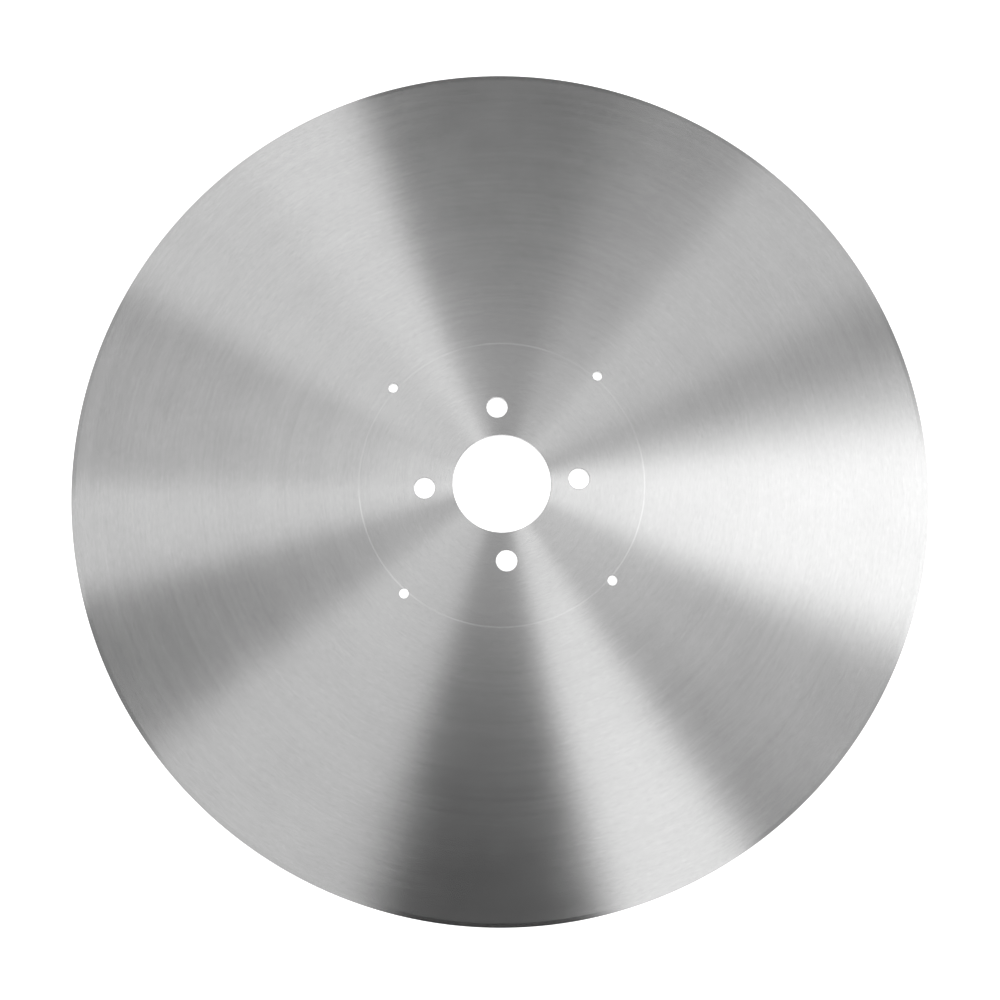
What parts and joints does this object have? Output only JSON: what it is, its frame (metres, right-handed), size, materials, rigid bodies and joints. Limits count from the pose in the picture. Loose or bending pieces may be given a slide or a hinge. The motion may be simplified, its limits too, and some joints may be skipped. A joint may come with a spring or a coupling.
{
  "type": "log saw blade",
  "caption": "Flat round steel knife with a central bore, drive-pin holes and small outer holes in its flat hub, and a web ground thinner to a plain double-bevel rim.",
  "frame": {"origin": "on the bore's axis, in the plane of the lower hub face on which the blade lies", "axes": "+Z along the bore's axis, out of the upper face; +X through the centre of one drive hole"},
  "size_m": [0.61, 0.61, 0.0048],
  "materials": {
    "ground_steel": "fine circular grind, satin, with small stains and handling marks"
  },
  "bodies": {
    "root": {"blade": "ground_steel"}
  },
  "joints": []
}
